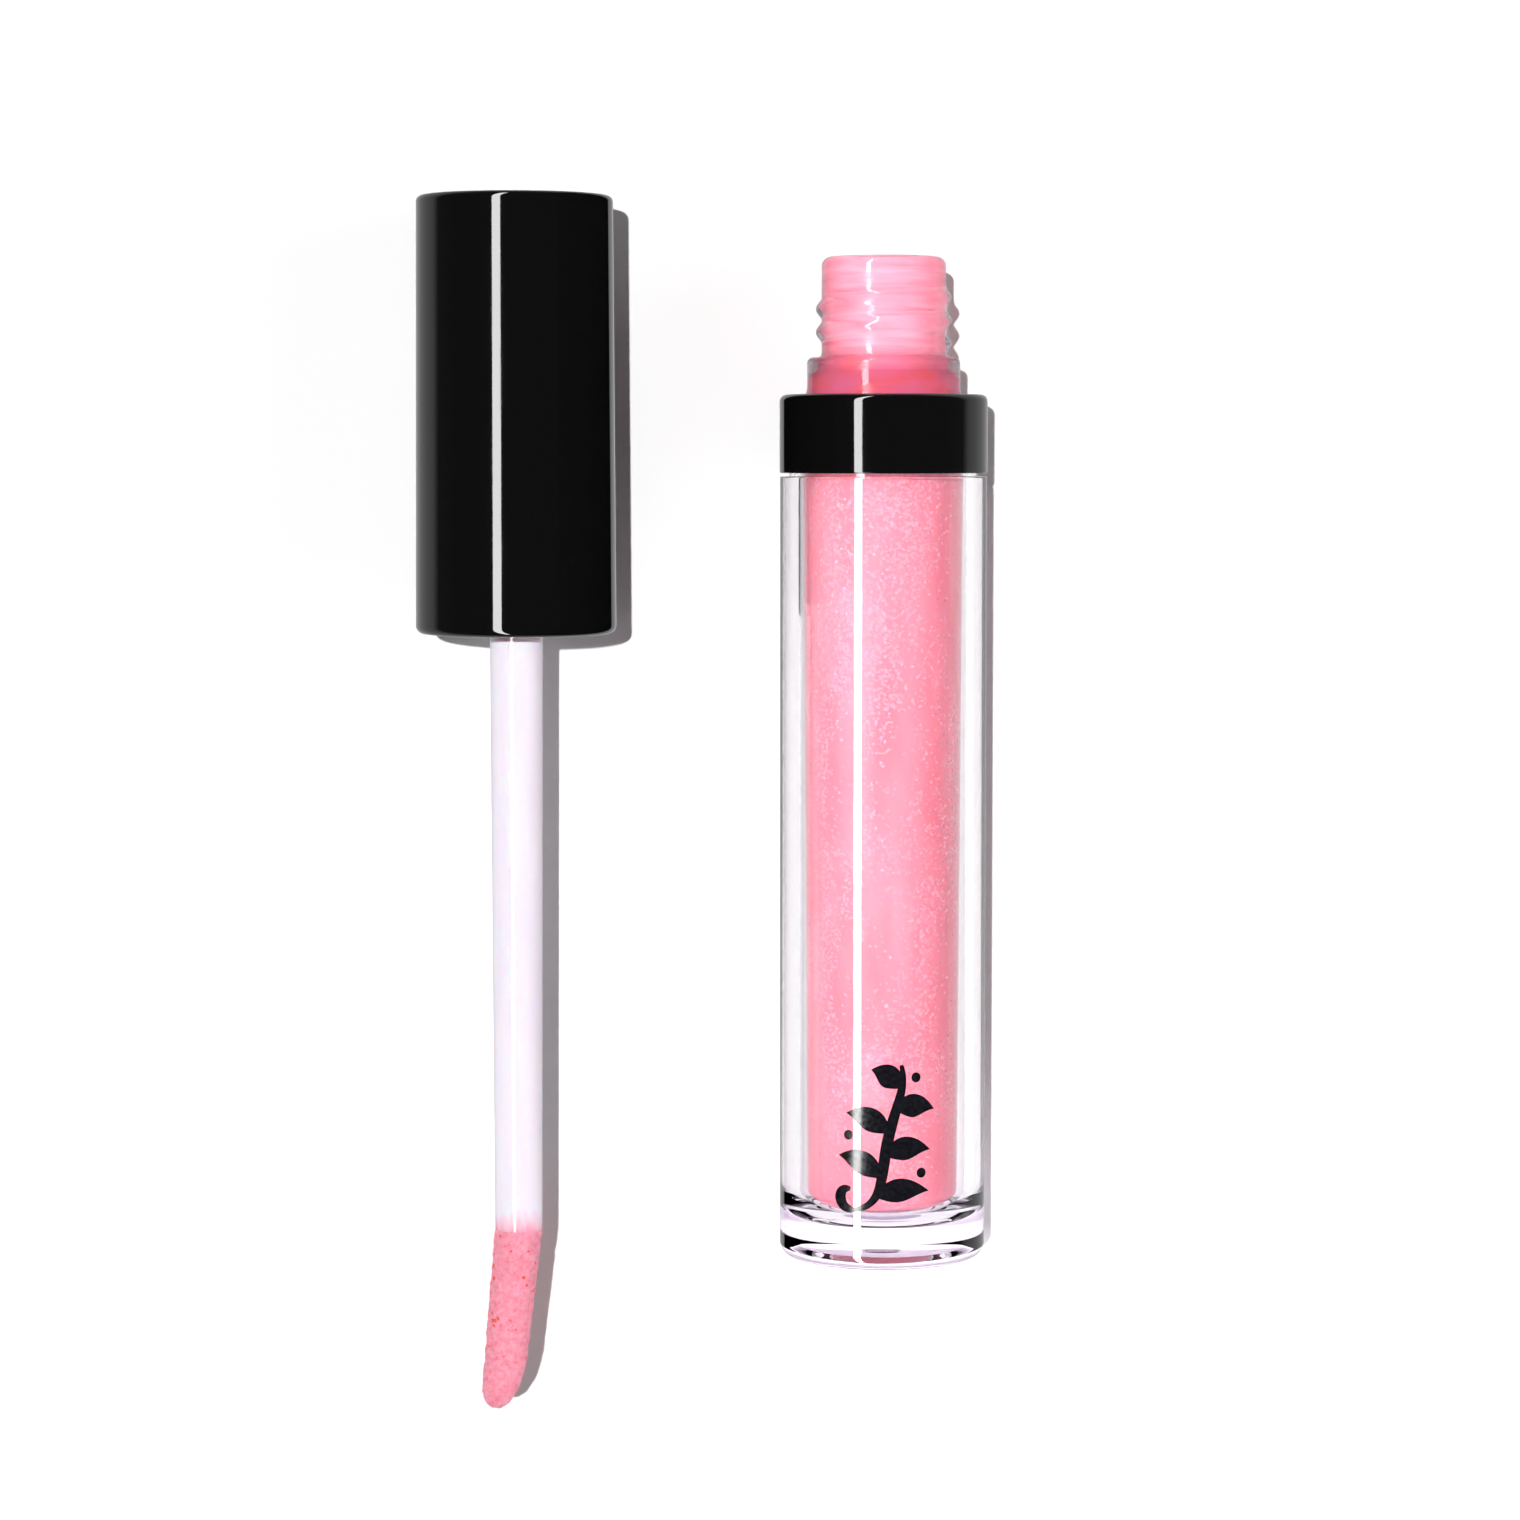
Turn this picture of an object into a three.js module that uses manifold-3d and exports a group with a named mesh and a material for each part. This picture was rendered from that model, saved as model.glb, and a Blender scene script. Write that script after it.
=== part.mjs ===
// A lip gloss tube, opened: the filled tube and its cap-and-wand applicator lie side by side.
// Millimetres, +Z up. Both pieces lie on z = 0 with their axes along +Y, neck and cap crown towards +Y.
// Lathe profiles are (radius, height along the axis), run so that their outer side goes up the axis.

import * as THREE from 'three';
import Module from 'manifold-3d';
import { mergeVertices } from 'three/addons/utils/BufferGeometryUtils.js';

const GAP = 0.3; // clearance between neighbouring pieces
const BIG_SIDES = 32; // facets round the shells
const SMALL_SIDES = 24; // facets round the thin pieces
const ARC_STEPS = 2; // half the number of steps in a rounded corner

// Tube, heights measured from its base plane
const SHELL_R = 9.0;
const SHELL_EDGE_R = 1.2;
const SHELL_TOP = 68.4; // step that the collar covers
const SPIGOT_R = 8.2;
const SPIGOT_TOP = 72.6;
const SHELL_BORE_R = 7.3;
const SHELL_FLOOR = 3.3;
const SHELL_FLOOR_CORNER_R = 3.0;
const FOOT_INNER_R = 6.0;
const RECESS_R = 5.2;
const RECESS_DEPTH = 0.8;
const GATE_R = 1.5;
const GATE_HEIGHT = 0.3;

const WALL = 0.9;
const VESSEL_BOTTOM = SHELL_FLOOR + GAP;
const VESSEL_BOTTOM_R = 6.6;
const VESSEL_TOP_R = 7.0;
const VESSEL_CORNER_R = 2.8;
const FLANGE_BOTTOM = SPIGOT_TOP + GAP;
const FLANGE_TOP = 74.0;
const RING_FOOT_R = 6.8; // shoulder ring above the collar
const RING_R = 6.65;
const RING_TOP = 78.7;
const RING_EDGE_R = 0.5;
const NECK_R = 5.4;
const NECK_TOP = 87.4;
const NECK_EDGE_R = 0.8;
const NECK_FILLET_R = 0.4;
const NECK_BORE_R = 4.2;
const SHOULDER_BORE_TOP = 77.6;
const SHOULDER_BORE_BOTTOM = 75.5;

const THREAD_PITCH = 2.0;
const THREAD_CREST_R = 5.9;
const THREAD_TOP = 83.9; // ridge centre at its upper end
const THREAD_TURNS = 2;

const COLLAR_R = 9.05;
const COLLAR_BOTTOM = SHELL_TOP + GAP;
const COLLAR_TOP = 75.5;
const COLLAR_EDGE_R = 0.6;
const COLLAR_BORE_R = SPIGOT_R + GAP;
const COLLAR_WEB_BOTTOM = FLANGE_TOP + GAP;

const WIPER_R = NECK_BORE_R - GAP;
const WIPER_BORE_R = 3.2;
const WIPER_LIP_R = 2.4;
const WIPER_LIP_BOTTOM = 77.0;
const WIPER_CONE_TOP = 79.8;
const WIPER_TOP = NECK_TOP - GAP;

const GLOSS_TOP = 74.0;
const GLOSS_CHANNEL_R = 3.5;
const GLOSS_CHANNEL_BOTTOM = 6.6;

// Applicator, heights measured from the cap's open rim
const CAP_HEIGHT = 38.0;
const CAP_RIM_R = 8.75;
const CAP_CROWN_R = 8.55;
const CAP_WALL = 1.3;
const CAP_RIM_EDGE_R = 0.7;
const CAP_CROWN_EDGE_R = 0.55;
const CAP_LEAD_IN = 0.15;

const LINER_R = CAP_CROWN_R - CAP_WALL - GAP;
const LINER_BOTTOM = 3.3;
const LINER_TOP = CAP_HEIGHT - CAP_WALL - GAP;
const LINER_BORE_R = THREAD_CREST_R + GAP;
const LINER_SKIRT_BORE_R = 6.1;
const LINER_WEB_BOTTOM = 13.2;
const LINER_WEB_TOP = 15.2;
const HUB_R = 3.9;
const HUB_TOP = 23.0;

const WASHER_R = LINER_BORE_R - GAP;
const WASHER_TOP = LINER_WEB_BOTTOM - GAP;
const WASHER_THICKNESS = 1.0;

const STEM_RIM_R = 2.3;
const STEM_END_R = 2.065;
const STEM_END = -52.8;
const STEM_TOP = 22.5;
const STEM_SOCKET_R = 1.0;
const STEM_SOCKET_DEPTH = 5.0;
const HUB_BORE_R = STEM_RIM_R + GAP;

const TIP_TOP = STEM_END - GAP;
const TIP_END = -68.7;
const TIP_BEND = 1.65; // how far the tip's centreline leans towards -X at its end
const TIP_TOP_R = 2.02;
const TIP_END_R = 1.75;
const TIP_SLANT_LENGTH = 4.5; // stretch over which the slanted face runs in
const TIP_HEEL_LENGTH = 2.0; // stretch over which the other side rounds off
const TIP_SIDE_LENGTH = 3.0;
const TIP_POINT_X = -1.9;
const CORE_R = 0.95;
const CORE_SPIGOT_R = STEM_SOCKET_R - GAP;
const CORE_END = 0.8; // share of the tip's length that the core reaches

// Places
const SEATED_RIM = COLLAR_TOP + GAP; // height of the cap's rim on the tube when closed
const RIM_HEIGHT = 54.7; // height of the cap's rim beside the tube, as it lies
const AXIS_SPACING = 32.05;
const LENGTH_LOW = RIM_HEIGHT + TIP_END;
const LENGTH_HIGH = RIM_HEIGHT + CAP_HEIGHT;
const CENTRE_HEIGHT = (LENGTH_LOW + LENGTH_HIGH) / 2;
const TUBE_X = (AXIS_SPACING + CAP_RIM_R - COLLAR_R) / 2;
const WAND_X = TUBE_X - AXIS_SPACING;

const wasm = await Module();
wasm.setup();

function material(color, roughness, opacity = 1) {
  return new THREE.MeshStandardMaterial({
    color,
    roughness,
    metalness: 0,
    opacity,
    transparent: opacity < 1,
  });
}

const LOOKS = {
  clear: material('#eef0f4', 0.05, 0.3),
  vessel: material('#ffc4da', 0.08, 0.5),
  black: material('#0a0a0a', 0.12),
  gloss: material('#ff9fbe', 0.2),
  natural: material('#e9e6ea', 0.35),
  foam: material('#f4f0f2', 0.8),
  stem: material('#e4dfea', 0.2),
  flock: material('#ff8fae', 0.7),
};

// Joins a geometry's repeated vertices, and drops the faces that this leaves without area.
function welded(geometry) {
  const bare = geometry.clone();
  bare.deleteAttribute('normal');
  bare.deleteAttribute('uv');
  const merged = mergeVertices(bare, 1e-4);
  const { array } = merged.index;
  const index = [];
  for (let i = 0; i < array.length; i += 3) {
    const [a, b, c] = array.slice(i, i + 3);
    if (a !== b && b !== c && c !== a) index.push(a, b, c);
  }
  merged.setIndex(index);
  return merged;
}

function toSolid(geometry) {
  const mesh = welded(geometry);
  return new wasm.Manifold(
    new wasm.Mesh({
      numProp: 3,
      vertProperties: new Float32Array(mesh.attributes.position.array),
      triVerts: new Uint32Array(mesh.index.array),
    }),
  );
}

function toGeometry(solid) {
  const mesh = solid.getMesh();
  const geometry = new THREE.BufferGeometry();
  geometry.setAttribute('position', new THREE.BufferAttribute(mesh.vertProperties, 3));
  geometry.setIndex(new THREE.BufferAttribute(mesh.triVerts, 1));
  geometry.computeVertexNormals();
  return geometry;
}

function lathe(path, sides) {
  return new THREE.LatheGeometry(path.getPoints(ARC_STEPS), sides);
}

// Draws straight lines on to each point in turn.
function through(path, ...points) {
  for (const [radius, height] of points) path.lineTo(radius, height);
  return path;
}

// A rectangle of four corners, as a closed ring about the axis.
function ring(innerR, outerR, bottom, top, sides) {
  const path = new THREE.Path();
  path.moveTo(innerR, bottom);
  through(path, [outerR, bottom], [outerR, top], [innerR, top], [innerR, bottom]);
  return lathe(path, sides);
}

// Skins a row of loops, each with the same number of points, and closes both ends.
// Seen from ahead of the row, each loop runs counterclockwise.
function skin(loops) {
  const sides = loops[0].length;
  const positions = loops.flat().flatMap((point) => point.toArray());
  const index = [];
  for (let row = 0; row + 1 < loops.length; row += 1) {
    for (let side = 0; side < sides; side += 1) {
      const a = row * sides + side;
      const b = row * sides + ((side + 1) % sides);
      index.push(a, b, a + sides, b, b + sides, a + sides);
    }
  }
  const last = (loops.length - 1) * sides;
  for (let side = 1; side + 1 < sides; side += 1) {
    index.push(0, side + 1, side);
    index.push(last, last + side, last + side + 1);
  }
  const geometry = new THREE.BufferGeometry();
  geometry.setAttribute('position', new THREE.Float32BufferAttribute(positions, 3));
  geometry.setIndex(index);
  geometry.computeVertexNormals();
  return geometry;
}

// A screw-thread ridge about the axis, right-handed, fading out over both its ends.
// The angle runs from +X towards +Z, and the ridge falls as it turns that way.
function threadRidge({ buriedR, crestR, top, turns }) {
  const STEPS_PER_TURN = 24;
  const FADE_STEPS = 3;
  const ROOT_HALF = 0.5;
  const CREST_HALF = 0.22;
  const steps = Math.round(turns * STEPS_PER_TURN);
  const loops = [];
  for (let step = 0; step <= steps; step += 1) {
    const angle = (step / STEPS_PER_TURN) * 2 * Math.PI;
    const height = top - (THREAD_PITCH * step) / STEPS_PER_TURN;
    const fade = Math.min(1, (step + 0.4) / FADE_STEPS, (steps - step + 0.4) / FADE_STEPS);
    const reachR = buriedR + (crestR - buriedR) * fade;
    const corner = (radius, rise) =>
      new THREE.Vector3(radius * Math.cos(angle), height + rise, radius * Math.sin(angle));
    const loop = [
      corner(buriedR, -ROOT_HALF),
      corner(reachR, -CREST_HALF),
      corner(reachR, CREST_HALF),
      corner(buriedR, ROOT_HALF),
    ];
    loops.push(crestR > buriedR ? loop : loop.reverse());
  }
  return skin(loops);
}

function withThread(blank, ridge) {
  return toGeometry(toSolid(blank).add(toSolid(ridge)));
}

function outerShell() {
  const path = new THREE.Path();
  path.moveTo(0, RECESS_DEPTH - GATE_HEIGHT);
  through(
    path,
    [GATE_R, RECESS_DEPTH - GATE_HEIGHT],
    [GATE_R, RECESS_DEPTH],
    [RECESS_R, RECESS_DEPTH],
    [FOOT_INNER_R, 0],
    [SHELL_R - SHELL_EDGE_R, 0],
  );
  path.absarc(SHELL_R - SHELL_EDGE_R, SHELL_EDGE_R, SHELL_EDGE_R, -Math.PI / 2, 0);
  through(
    path,
    [SHELL_R, SHELL_TOP],
    [SPIGOT_R, SHELL_TOP],
    [SPIGOT_R, SPIGOT_TOP],
    [SHELL_BORE_R, SPIGOT_TOP],
  );
  const cornerX = SHELL_BORE_R - SHELL_FLOOR_CORNER_R;
  const cornerY = SHELL_FLOOR + SHELL_FLOOR_CORNER_R;
  path.absarc(cornerX, cornerY, SHELL_FLOOR_CORNER_R, 0, -Math.PI / 2, true);
  path.lineTo(0, SHELL_FLOOR);
  return lathe(path, BIG_SIDES);
}

// The outline of the vessel's lower end, drawn outwards or inwards, set in from its outer face.
function vesselCorner(path, inset, outwards) {
  const centreX = VESSEL_BOTTOM_R - VESSEL_CORNER_R;
  const centreY = VESSEL_BOTTOM + VESSEL_CORNER_R;
  const radius = VESSEL_CORNER_R - inset;
  const down = -Math.PI / 2;
  if (outwards) {
    path.lineTo(centreX, centreY - radius);
    path.absarc(centreX, centreY, radius, down, 0);
  } else {
    path.absarc(centreX, centreY, radius, 0, down, true);
  }
}

function innerVessel() {
  const path = new THREE.Path();
  path.moveTo(0, VESSEL_BOTTOM);
  vesselCorner(path, 0, true);
  through(
    path,
    [VESSEL_TOP_R, FLANGE_BOTTOM],
    [SPIGOT_R, FLANGE_BOTTOM],
    [SPIGOT_R, FLANGE_TOP],
    [RING_FOOT_R, FLANGE_TOP],
    [RING_FOOT_R, COLLAR_TOP],
    [RING_R, COLLAR_TOP + RING_EDGE_R],
  );
  path.absarc(RING_R - RING_EDGE_R, RING_TOP - RING_EDGE_R, RING_EDGE_R, 0, Math.PI / 2);
  const filletX = NECK_R + NECK_FILLET_R;
  path.absarc(filletX, RING_TOP + NECK_FILLET_R, NECK_FILLET_R, -Math.PI / 2, -Math.PI, true);
  path.absarc(NECK_R - NECK_EDGE_R, NECK_TOP - NECK_EDGE_R, NECK_EDGE_R, 0, Math.PI / 2);
  through(
    path,
    [NECK_BORE_R, NECK_TOP],
    [NECK_BORE_R, SHOULDER_BORE_TOP],
    [VESSEL_TOP_R - WALL, SHOULDER_BORE_BOTTOM],
  );
  vesselCorner(path, WALL, false);
  path.lineTo(0, VESSEL_BOTTOM + WALL);
  const ridge = threadRidge({
    buriedR: NECK_R - GAP,
    crestR: THREAD_CREST_R,
    top: THREAD_TOP,
    turns: THREAD_TURNS,
  });
  return withThread(lathe(path, BIG_SIDES), ridge);
}

function collar() {
  const path = new THREE.Path();
  path.moveTo(COLLAR_BORE_R, COLLAR_BOTTOM);
  path.lineTo(COLLAR_R, COLLAR_BOTTOM);
  path.absarc(COLLAR_R - COLLAR_EDGE_R, COLLAR_TOP - COLLAR_EDGE_R, COLLAR_EDGE_R, 0, Math.PI / 2);
  through(
    path,
    [RING_FOOT_R + GAP, COLLAR_TOP],
    [RING_FOOT_R + GAP, COLLAR_WEB_BOTTOM],
    [COLLAR_BORE_R, COLLAR_WEB_BOTTOM],
    [COLLAR_BORE_R, COLLAR_BOTTOM],
  );
  return lathe(path, BIG_SIDES);
}

function wiper() {
  const LIP_WIDTH = 0.5;
  const CONE_WALL = 0.8;
  const path = new THREE.Path();
  path.moveTo(WIPER_LIP_R, WIPER_LIP_BOTTOM);
  through(
    path,
    [WIPER_LIP_R + LIP_WIDTH, WIPER_LIP_BOTTOM],
    [WIPER_R, WIPER_CONE_TOP],
    [WIPER_R, WIPER_TOP],
    [WIPER_BORE_R, WIPER_TOP],
    [WIPER_BORE_R, WIPER_CONE_TOP],
    [WIPER_LIP_R, WIPER_LIP_BOTTOM + CONE_WALL],
    [WIPER_LIP_R, WIPER_LIP_BOTTOM],
  );
  return lathe(path, SMALL_SIDES);
}

function lipGloss() {
  const path = new THREE.Path();
  path.moveTo(0, VESSEL_BOTTOM + WALL + GAP);
  vesselCorner(path, WALL + GAP, true);
  through(
    path,
    [VESSEL_TOP_R - WALL - GAP, GLOSS_TOP],
    [GLOSS_CHANNEL_R, GLOSS_TOP],
    [GLOSS_CHANNEL_R, GLOSS_CHANNEL_BOTTOM],
    [0, GLOSS_CHANNEL_BOTTOM],
  );
  return lathe(path, BIG_SIDES);
}

function capShell() {
  const boreR = CAP_RIM_R - CAP_WALL;
  const path = new THREE.Path();
  path.moveTo(0, CAP_HEIGHT - CAP_WALL);
  through(
    path,
    [CAP_CROWN_R - CAP_WALL, CAP_HEIGHT - CAP_WALL],
    [boreR, CAP_LEAD_IN],
    [boreR + CAP_LEAD_IN, 0],
  );
  path.absarc(CAP_RIM_R - CAP_RIM_EDGE_R, CAP_RIM_EDGE_R, CAP_RIM_EDGE_R, -Math.PI / 2, 0);
  const crownY = CAP_HEIGHT - CAP_CROWN_EDGE_R;
  path.absarc(CAP_CROWN_R - CAP_CROWN_EDGE_R, crownY, CAP_CROWN_EDGE_R, 0, Math.PI / 2);
  path.lineTo(0, CAP_HEIGHT);
  return lathe(path, BIG_SIDES);
}

function capLiner() {
  const path = new THREE.Path();
  path.moveTo(LINER_BORE_R, LINER_BOTTOM);
  through(
    path,
    [LINER_R, LINER_BOTTOM],
    [LINER_R, LINER_TOP],
    [LINER_SKIRT_BORE_R, LINER_TOP],
    [LINER_SKIRT_BORE_R, LINER_WEB_TOP],
    [HUB_R, LINER_WEB_TOP],
    [HUB_R, HUB_TOP],
    [HUB_BORE_R, HUB_TOP],
    [HUB_BORE_R, LINER_WEB_BOTTOM],
    [LINER_BORE_R, LINER_WEB_BOTTOM],
    [LINER_BORE_R, LINER_BOTTOM],
  );
  // Seated, this ridge runs half a pitch below the neck's, so that they mesh.
  const ridge = threadRidge({
    buriedR: LINER_BORE_R + GAP,
    crestR: NECK_R + GAP,
    top: THREAD_TOP - THREAD_PITCH / 2 - SEATED_RIM,
    turns: 1,
  });
  return withThread(lathe(path, BIG_SIDES), ridge);
}

function wandStem() {
  const path = new THREE.Path();
  path.moveTo(0, STEM_END + STEM_SOCKET_DEPTH);
  through(
    path,
    [STEM_SOCKET_R, STEM_END + STEM_SOCKET_DEPTH],
    [STEM_SOCKET_R, STEM_END],
    [STEM_END_R, STEM_END],
    [STEM_RIM_R, 0],
    [STEM_RIM_R, STEM_TOP],
    [0, STEM_TOP],
  );
  return lathe(path, SMALL_SIDES);
}

// An upright ellipse of points about a centre on the tip's bent centreline.
function tipLoop(centreX, height, halfX, halfZ) {
  const TIP_SIDES = 16;
  return Array.from({ length: TIP_SIDES }, (_, side) => {
    const angle = (side / TIP_SIDES) * 2 * Math.PI;
    return new THREE.Vector3(
      centreX + halfX * Math.cos(angle),
      height,
      -halfZ * Math.sin(angle),
    );
  });
}

// How full a rounded end still is, from 0 at the end to 1 where the rounding starts.
function roundOff(fromEnd, length) {
  const short = Math.max(0, 1 - fromEnd / length);
  return Math.sqrt(1 - short * short);
}

// The flocked surface at a share of the tip's length: its slanted side is towards +X.
function flockLoop(share) {
  const length = TIP_TOP - TIP_END;
  const fromEnd = (1 - share) * length;
  const centre = -TIP_BEND * share;
  const radius = TIP_TOP_R + (TIP_END_R - TIP_TOP_R) * share;
  const left = centre - radius;
  const right = centre + radius;
  const leftX = TIP_POINT_X + (left - TIP_POINT_X) * roundOff(fromEnd, TIP_HEEL_LENGTH);
  const rightX = TIP_POINT_X + (right - TIP_POINT_X) * roundOff(fromEnd, TIP_SLANT_LENGTH);
  const halfZ = radius * roundOff(fromEnd, TIP_SIDE_LENGTH);
  return tipLoop((leftX + rightX) / 2, TIP_TOP - share * length, (rightX - leftX) / 2, halfZ);
}

// The core's surface at a share of the tip's length, grown by a clearance.
function coreLoop(share, clearance) {
  const height = TIP_TOP - share * (TIP_TOP - TIP_END);
  const radius = CORE_R + clearance;
  return tipLoop(-TIP_BEND * share, height, radius, radius);
}

function tipFlock() {
  const ROWS = 18;
  const POCKET_ROWS = 4;
  const END_SHARE = 0.998;
  const loops = [];
  for (let row = ROWS; row >= 0; row -= 1) {
    // Rows gather towards the rounded end.
    loops.push(flockLoop(END_SHARE * Math.sin(((row / ROWS) * Math.PI) / 2)));
  }
  for (let row = 0; row <= POCKET_ROWS; row += 1) {
    loops.push(coreLoop(((CORE_END + 0.02) * row) / POCKET_ROWS, GAP));
  }
  return skin(loops);
}

function tipCore() {
  const SHOULDER_SHARE = 0.03;
  const ROWS = 4;
  const socketTop = STEM_END + STEM_SOCKET_DEPTH - GAP;
  const loops = [];
  for (let row = ROWS; row >= 0; row -= 1) {
    const share = SHOULDER_SHARE + ((CORE_END - SHOULDER_SHARE) * row) / ROWS;
    loops.push(coreLoop(share, 0));
  }
  loops.push(tipLoop(0, STEM_END - GAP, CORE_SPIGOT_R, CORE_SPIGOT_R));
  loops.push(tipLoop(0, socketTop, CORE_SPIGOT_R, CORE_SPIGOT_R));
  return skin(loops);
}

function named(name, geometry, look) {
  const mesh = new THREE.Mesh(geometry, look);
  mesh.name = name;
  return mesh;
}

const tube = new THREE.Group();
tube.position.set(TUBE_X, -CENTRE_HEIGHT, COLLAR_R);
tube.add(
  named('outer_shell', outerShell(), LOOKS.clear),
  named('inner_vessel', innerVessel(), LOOKS.vessel),
  named('collar', collar(), LOOKS.black),
  named('wiper', wiper(), LOOKS.natural),
  named('lip_gloss', lipGloss(), LOOKS.gloss),
);

const washerBottom = WASHER_TOP - WASHER_THICKNESS;
const applicator = new THREE.Group();
applicator.position.set(WAND_X, RIM_HEIGHT - CENTRE_HEIGHT, CAP_RIM_R);
applicator.add(
  named('cap_shell', capShell(), LOOKS.black),
  named('cap_liner', capLiner(), LOOKS.natural),
  named('seal_washer', ring(HUB_BORE_R, WASHER_R, washerBottom, WASHER_TOP, SMALL_SIDES), LOOKS.foam),
  named('wand_stem', wandStem(), LOOKS.stem),
  named('tip_core', tipCore(), LOOKS.natural),
  named('tip_flock', tipFlock(), LOOKS.flock),
);

const lipGlossTube = new THREE.Group();
lipGlossTube.add(tube, applicator);

export default lipGlossTube;
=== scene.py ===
import math
import random

import bpy
from mathutils import Matrix, Vector, noise


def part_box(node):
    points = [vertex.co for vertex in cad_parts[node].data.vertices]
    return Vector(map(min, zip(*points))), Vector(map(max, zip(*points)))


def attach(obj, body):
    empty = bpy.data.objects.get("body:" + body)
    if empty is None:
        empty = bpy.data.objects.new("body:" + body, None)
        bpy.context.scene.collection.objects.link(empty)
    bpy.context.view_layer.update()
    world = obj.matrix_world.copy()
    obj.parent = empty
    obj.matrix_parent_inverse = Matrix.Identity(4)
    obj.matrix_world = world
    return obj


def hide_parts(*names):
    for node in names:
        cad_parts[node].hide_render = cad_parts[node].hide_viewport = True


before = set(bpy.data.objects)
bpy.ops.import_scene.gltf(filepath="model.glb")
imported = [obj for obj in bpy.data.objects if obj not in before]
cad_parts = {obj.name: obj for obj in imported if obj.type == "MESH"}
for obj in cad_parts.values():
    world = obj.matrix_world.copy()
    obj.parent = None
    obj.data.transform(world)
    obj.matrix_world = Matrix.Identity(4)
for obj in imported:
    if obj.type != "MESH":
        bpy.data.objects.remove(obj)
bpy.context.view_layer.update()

# An opened lip gloss tube lying beside its cap and wand, on a plain pale floor.
# Outlines are (radius, height) in millimetres: heights run along +Y, from the tube's base plane
# or from the cap's open rim. Everything is placed by the CAD nodes' boxes.

MM = 0.001  # in metres, the frame's unit
BIG_SIDES = 224  # round a wide piece
SMALL_SIDES = 112  # round a slim one
ARC_STEPS = 10
GAP = 0.3  # clearance between fitted pieces
CHAMFER = 0.1
CREASE_ANGLE = math.radians(32)


# ---------------------------------------------------------------- places

def size_mm(node):
    """A node's size along each axis, in millimetres."""
    low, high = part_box(node)
    return (high - low) / MM


def axis_base(node):
    """The foot of a round node's axis, at its lowest Y."""
    low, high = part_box(node)
    return Vector(((low.x + high.x) / 2, low.y, (low.z + high.z) / 2))


TUBE_BASE = axis_base("outer_shell")
CAP_RIM = axis_base("cap_shell")


def above_base(node, end):
    """A node's lowest (0) or highest (1) Y, in millimetres above the tube's base."""
    return (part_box(node)[end].y - TUBE_BASE.y) / MM


def above_rim(node, end):
    """A node's lowest (0) or highest (1) Y, in millimetres above the cap's rim."""
    return (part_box(node)[end].y - CAP_RIM.y) / MM


SHELL_R = size_mm("outer_shell").x / 2
SPIGOT_TOP = above_base("outer_shell", 1)
COLLAR_R = size_mm("collar").x / 2
COLLAR_BOTTOM = above_base("collar", 0)
COLLAR_TOP = above_base("collar", 1)
VESSEL_BOTTOM = above_base("inner_vessel", 0)
NECK_TOP = above_base("inner_vessel", 1)
FLANGE_R = size_mm("inner_vessel").x / 2
GLOSS_TOP = above_base("lip_gloss", 1)
WIPER_BOTTOM = above_base("wiper", 0)
WIPER_TOP = above_base("wiper", 1)
WIPER_R = size_mm("wiper").x / 2
CAP_R = size_mm("cap_shell").x / 2
CAP_HEIGHT = size_mm("cap_shell").y
LINER_R = size_mm("cap_liner").x / 2
LINER_BOTTOM = above_rim("cap_liner", 0)
LINER_TOP = above_rim("cap_liner", 1)
WASHER_R = size_mm("seal_washer").x / 2
WASHER_BOTTOM = above_rim("seal_washer", 0)
WASHER_TOP = above_rim("seal_washer", 1)
STEM_R = size_mm("wand_stem").x / 2
STEM_END = above_rim("wand_stem", 0)
STEM_TOP = above_rim("wand_stem", 1)
TIP_END = above_rim("tip_flock", 0)

# Sizes that no node's box gives. Heights are above the tube's base.
SHELL_STEP = COLLAR_BOTTOM - GAP
SHELL_BORE_R = 7.3
SHELL_FLOOR = VESSEL_BOTTOM - GAP
WALL = 0.9
WETTING = 0.03  # how far the gloss reaches into the bottle's wall, so that no air shows between
VESSEL_TOP_R = 7.0
VESSEL_BOTTOM_R = 6.6
VESSEL_CORNER_R = 2.8
VESSEL_WALL_START = 6.6
RING_FOOT_R = 6.8
RING_R = 6.65
RING_TOP = 78.7
NECK_R = 5.4
NECK_BORE_R = 4.2
SHOULDER_BORE = (75.5, 77.6)  # where the bore narrows from the wall's radius to the neck's
THREAD_PITCH = 2.0
THREAD_TOP = 83.9
THREAD_HEIGHT = 0.5
STEM_END_R = 2.065
SEATED_RIM = COLLAR_TOP + GAP


# ---------------------------------------------------------------- mesh code

def arc(centre_r, centre_h, radius, start, end, steps=ARC_STEPS):
    """Points round a rounded corner, between two angles in degrees."""
    angles = [math.radians(start + (end - start) * i / steps) for i in range(steps + 1)]
    return [(centre_r + radius * math.cos(a), centre_h + radius * math.sin(a)) for a in angles]


def line(start, end, steps):
    """Evenly spaced points from start to end."""
    return [
        tuple(a + (b - a) * i / steps for a, b in zip(start, end)) for i in range(steps + 1)
    ]


def softened(corners, radius=0.12, steps=3):
    """A closed outline of (radius, height) corners, each one rounded off."""
    sides_share = 2.2  # a rounding takes less than half of its shorter side
    points = []
    for i, corner in enumerate(corners):
        here = Vector(corner)
        before = Vector(corners[i - 1])
        after = Vector(corners[(i + 1) % len(corners)])
        shorter = min((before - here).length, (after - here).length)
        reach = min(radius, shorter / sides_share)
        start = here + (before - here).normalized() * reach
        end = here + (after - here).normalized() * reach
        for k in range(steps + 1):
            t = k / steps
            point = start * (1 - t) ** 2 + here * 2 * t * (1 - t) + end * t * t
            points.append(tuple(point))
    return points + points[:1]


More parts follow.
